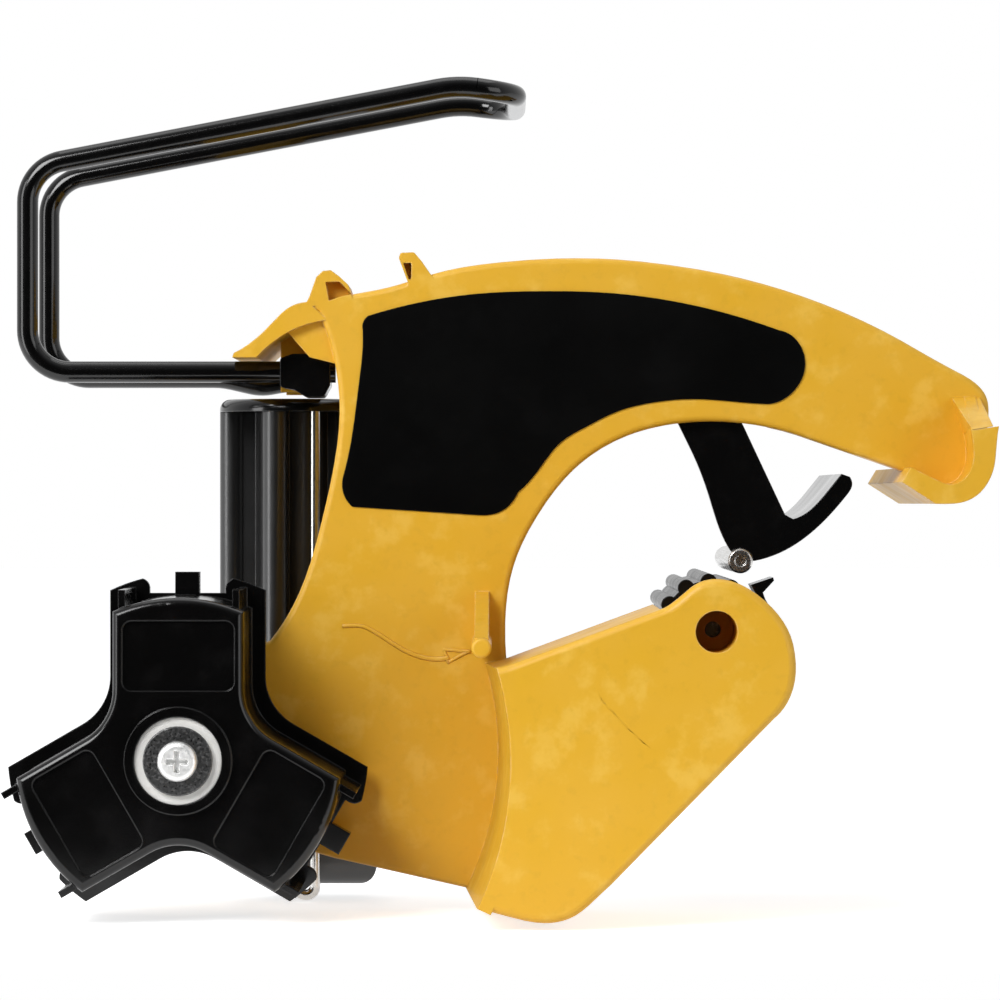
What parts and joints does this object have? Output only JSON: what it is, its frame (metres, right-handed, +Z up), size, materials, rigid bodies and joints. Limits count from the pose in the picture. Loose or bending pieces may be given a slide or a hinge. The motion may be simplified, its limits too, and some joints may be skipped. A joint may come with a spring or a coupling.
{
  "type": "masking paper dispenser",
  "caption": "Hand-held masking paper dispenser with a tape hub, folding paper mandrel, wire brace, ribbed roller and finger trigger.",
  "frame": {"origin": "on the tape hub's axis, in the plane of the hub's front face", "axes": "+X along the handle from the tape hub to the blade channel, +Y away from the tape side towards the paper side, +Z up"},
  "size_m": [0.2132, 0.147, 0.1819],
  "materials": {
    "frame_plastic": "satin",
    "hub_plastic": "satin",
    "black_plastic": "gloss",
    "white_plastic": "satin",
    "coated_wire": "gloss",
    "bright_steel": "polished",
    "zinc_steel": "satin",
    "brass": "satin",
    "label_print": "gloss"
  },
  "bodies": {
    "frame": {"body_frame": "frame_plastic", "side_label": "label_print", "hub_bushing": "white_plastic", "hub_washer": "zinc_steel", "hub_screw": "bright_steel", "hub_insert": "brass", "hub_drag_ring": "zinc_steel", "brace_spring_washer": "zinc_steel", "mandrel_hinge_pin": "zinc_steel", "mandrel_pin_clip": "zinc_steel", "mandrel_washers": "zinc_steel", "trigger_pivot_pin": "zinc_steel", "trigger_return_spring": "zinc_steel", "roller_axle": "bright_steel", "roller_clip": "zinc_steel", "tape_stripper": "black_plastic"},
    "hub": {"tape_hub": "hub_plastic"},
    "mandrel": {"paper_mandrel": "black_plastic", "mandrel_end_cap": "black_plastic", "core_retaining_rod": "bright_steel"},
    "brace": {"arm_brace_wire": "coated_wire", "brace_pivot_block": "black_plastic"},
    "trigger": {"trigger": "black_plastic", "nip_bar": "bright_steel"},
    "roller": {"tape_roller": "black_plastic"}
  },
  "joints": [
    {"name": "tape_hub_spin", "type": "hinge", "parent": "frame", "child": "hub", "pos_m": [0, 0, 0], "axis": [0, 1, 0], "continuous": true},
    {"name": "roller_spin", "type": "hinge", "parent": "frame", "child": "roller", "pos_m": [0.11242, 0.075, 0.02736], "axis": [0, 1, 0], "continuous": true},
    {"name": "trigger_pivot", "type": "hinge", "parent": "frame", "child": "trigger", "pos_m": [0.10894, 0.055, 0.08198], "axis": [0, -1, 0], "range_deg": [-1, 5.5], "stiffness_Nm_per_rad": 0.3},
    {"name": "mandrel_fold", "type": "hinge", "parent": "frame", "child": "mandrel", "pos_m": [0.0221, 0.083, -0.01803], "axis": [-1, 0, 0], "range_deg": [0, 90]},
    {"name": "arm_brace_swing", "type": "hinge", "parent": "frame", "child": "brace", "pos_m": [0.02353, 0.085, 0.0828], "axis": [0, -1, 0], "range_deg": [0, 20]}
  ]
}
